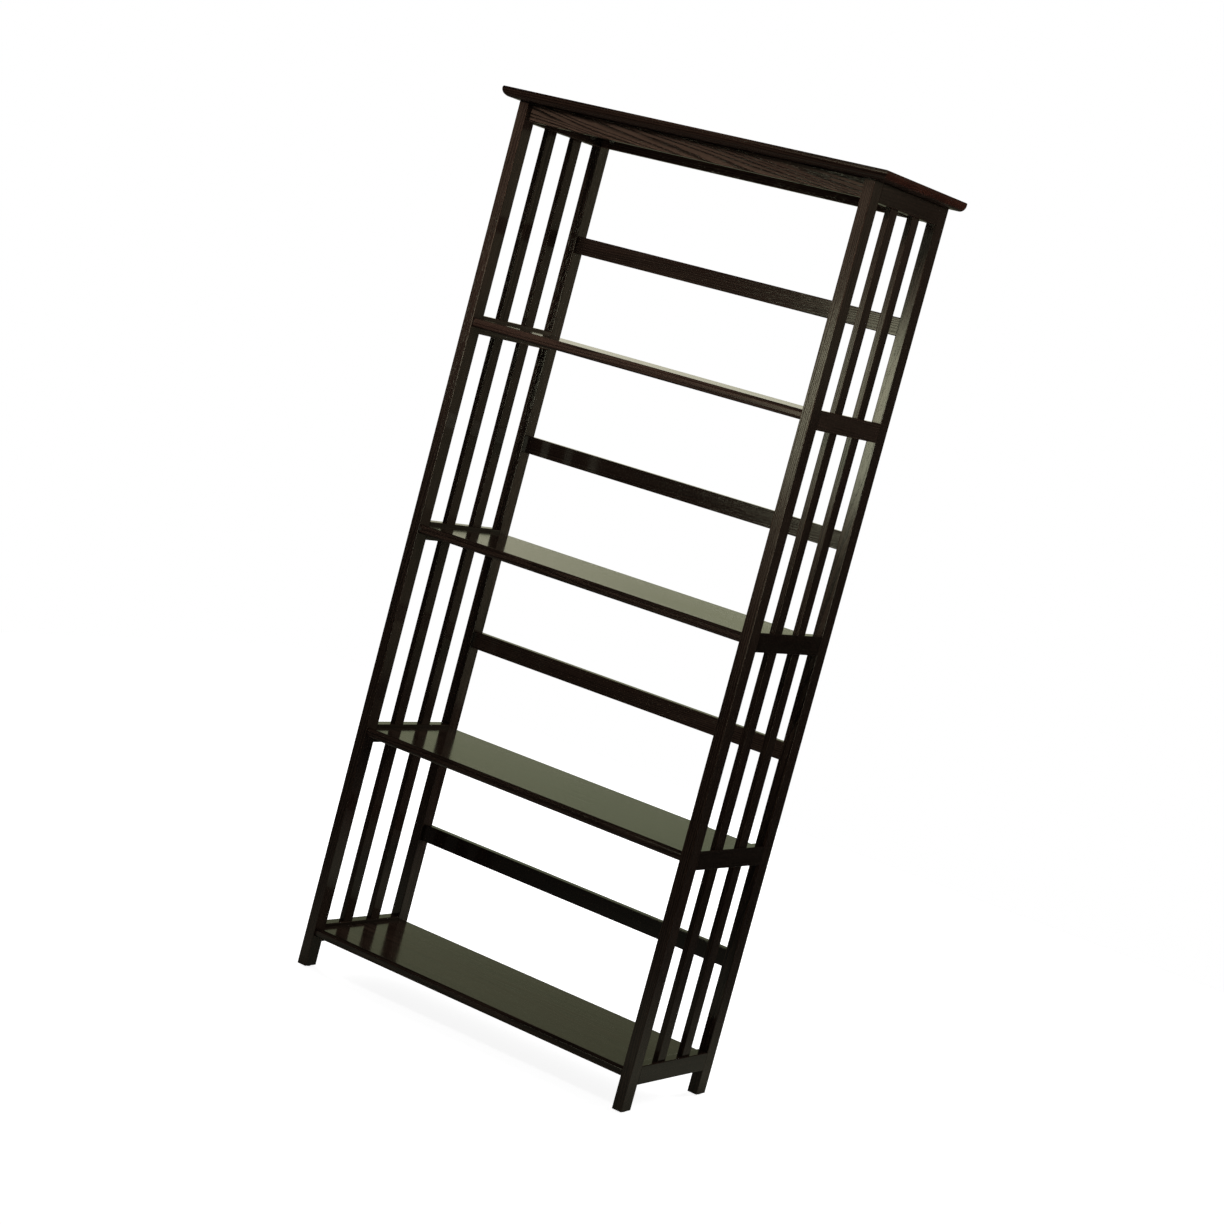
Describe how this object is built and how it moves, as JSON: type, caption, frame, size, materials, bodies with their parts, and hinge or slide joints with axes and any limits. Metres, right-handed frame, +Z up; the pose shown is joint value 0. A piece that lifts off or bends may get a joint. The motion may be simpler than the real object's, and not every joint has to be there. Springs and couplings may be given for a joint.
{
  "type": "bookcase",
  "caption": "Tall open bookcase in dark stained wood, with slatted side frames, fixed shelves, back rails and an overhanging top with a rounded underside.",
  "frame": {"origin": "on the floor, in the middle of the rectangle that the whole bookcase covers", "axes": "+X to the right seen from the front, +Y to the back, +Z up"},
  "size_m": [0.882, 0.35, 1.829],
  "materials": {
    "post_wood": "dark espresso stain, satin lacquer",
    "rail_wood": "dark espresso stain, satin lacquer",
    "slat_wood": "dark espresso stain, satin lacquer",
    "shelf_wood": "dark espresso stain, semi-gloss lacquer",
    "top_wood": "dark espresso stain, semi-gloss lacquer",
    "dowel_wood": "bare, glued",
    "fastener_steel": "bright zinc plate",
    "cam_zinc": "die-cast zinc",
    "glide_plastic": "black plastic"
  },
  "bodies": {
    "root": {"post_front_left": "post_wood", "post_front_right": "post_wood", "post_rear_left": "post_wood", "post_rear_right": "post_wood", "top_board": "top_wood", "front_apron": "rail_wood", "rear_apron": "rail_wood", "left_apron": "rail_wood", "right_apron": "rail_wood", "left_rail_1": "rail_wood", "left_rail_2": "rail_wood", "left_rail_3": "rail_wood", "left_rail_4": "rail_wood", "right_rail_1": "rail_wood", "right_rail_2": "rail_wood", "right_rail_3": "rail_wood", "right_rail_4": "rail_wood", "left_front_slat_1": "slat_wood", "left_front_slat_2": "slat_wood", "left_front_slat_3": "slat_wood", "left_front_slat_4": "slat_wood", "left_rear_slat_1": "slat_wood", "left_rear_slat_2": "slat_wood", "left_rear_slat_3": "slat_wood", "left_rear_slat_4": "slat_wood", "right_front_slat_1": "slat_wood", "right_front_slat_2": "slat_wood", "right_front_slat_3": "slat_wood", "right_front_slat_4": "slat_wood", "right_rear_slat_1": "slat_wood", "right_rear_slat_2": "slat_wood", "right_rear_slat_3": "slat_wood", "right_rear_slat_4": "slat_wood", "shelf_1": "shelf_wood", "shelf_2": "shelf_wood", "shelf_3": "shelf_wood", "shelf_4": "shelf_wood", "back_rail_1": "rail_wood", "back_rail_2": "rail_wood", "back_rail_3": "rail_wood", "back_rail_4": "rail_wood", "frame_dowels": "dowel_wood", "shelf_dowels": "dowel_wood", "connecting_bolts": "fastener_steel", "cam_locks": "cam_zinc", "top_screws": "fastener_steel", "foot_glides": "glide_plastic"}
  },
  "joints": []
}
